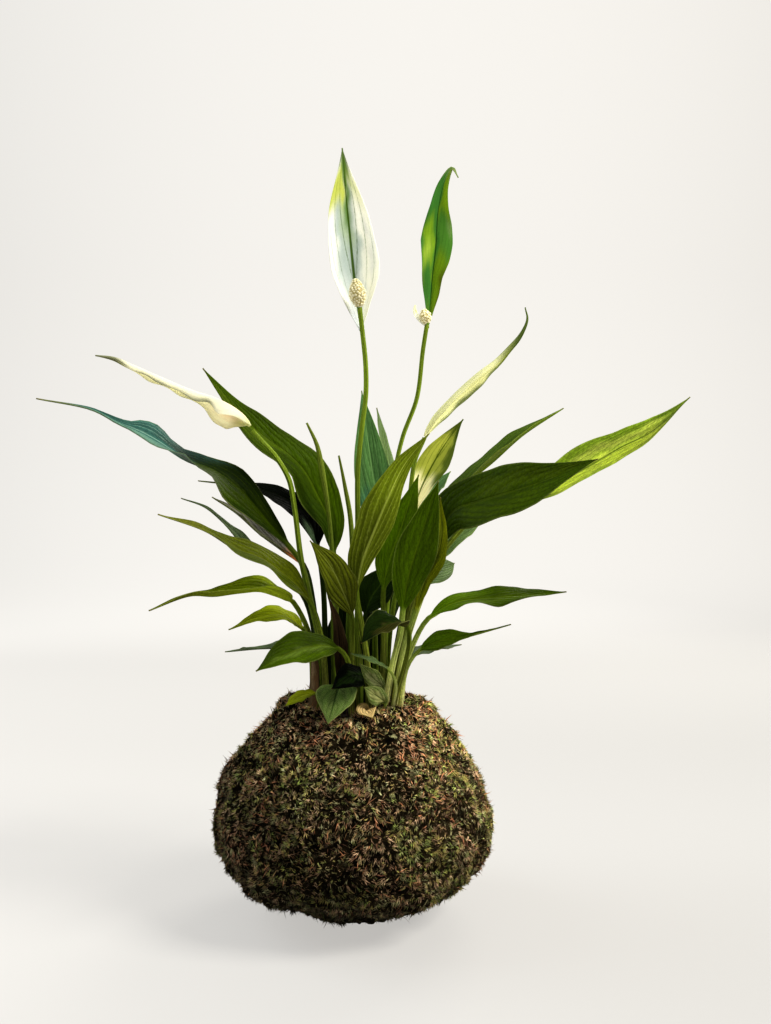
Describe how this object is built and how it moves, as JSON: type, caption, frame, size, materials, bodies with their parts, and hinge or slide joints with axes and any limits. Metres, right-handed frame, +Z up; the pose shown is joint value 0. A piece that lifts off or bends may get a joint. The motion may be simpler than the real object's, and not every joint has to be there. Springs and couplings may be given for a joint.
{
  "type": "kokedama moss ball plant",
  "caption": "Peace lily growing from a moss-wrapped ball of soil, with arching leaves, white and cream flowers, and a small flat foot to rest on.",
  "frame": {"origin": "centre of the ball's flat underside", "axes": "+Z up along the stems, -Y towards the side that the flowers face"},
  "size_m": [0.3275, 0.1609, 0.3841],
  "materials": {
    "moss": "matte, shaggy living moss",
    "soil": "matte crumbs",
    "root": "matte",
    "leaf": "glossy living leaf",
    "dry_leaf": "matte, dry",
    "stalk": "satin living stem",
    "spathe": "satin petal",
    "green_spathe": "satin petal",
    "spadix": "matte, knobbly"
  },
  "bodies": {
    "root": {"crown_and_roots": "root", "flower_green_spadix": "spadix", "flower_green_spathe": "green_spathe", "flower_green_stalk": "stalk", "flower_left_spathe": "spathe", "flower_left_stalk": "stalk", "flower_right_spathe": "spathe", "flower_right_stalk": "stalk", "flower_tall_spadix": "spadix", "flower_tall_spathe": "spathe", "flower_tall_stalk": "stalk", "flower_young_spathe": "spathe", "flower_young_stalk": "stalk", "foot_leaf_curled": "leaf", "foot_leaf_dry": "dry_leaf", "foot_leaf_heart": "leaf", "foot_leaf_ochre": "leaf", "foot_leaf_pale": "leaf", "foot_leaf_slim": "leaf", "foot_leaf_tan": "dry_leaf", "leaf_back_blunt": "leaf", "leaf_back_grey": "leaf", "leaf_back_pale": "leaf", "leaf_back_right_grey": "leaf", "leaf_back_right_low": "leaf", "leaf_back_right_teal": "leaf", "leaf_back_teal": "leaf", "leaf_centre_bright": "leaf", "leaf_centre_brown": "dry_leaf", "leaf_centre_dark": "leaf", "leaf_far_left": "leaf", "leaf_front_droop": "leaf", "leaf_front_left": "leaf", "leaf_front_olive": "leaf", "leaf_front_right": "leaf", "leaf_front_short": "leaf", "leaf_left_level": "leaf", "leaf_left_mauve": "leaf", "leaf_left_olive": "leaf", "leaf_left_shaded": "leaf", "leaf_left_tall": "leaf", "leaf_left_thin": "leaf", "leaf_left_yellow": "leaf", "leaf_low_left": "leaf", "leaf_low_middle": "leaf", "leaf_right_broad": "leaf", "leaf_right_far": "leaf", "leaf_right_low": "leaf", "leaf_right_lowest": "leaf", "leaf_right_narrow": "leaf", "leaf_right_up": "leaf", "leaf_spear_left": "stalk", "leaf_spear_low": "stalk", "leaf_spear_middle": "stalk", "moss_cover": "moss", "old_sheath": "dry_leaf", "soil_ball": "soil"}
  },
  "joints": []
}
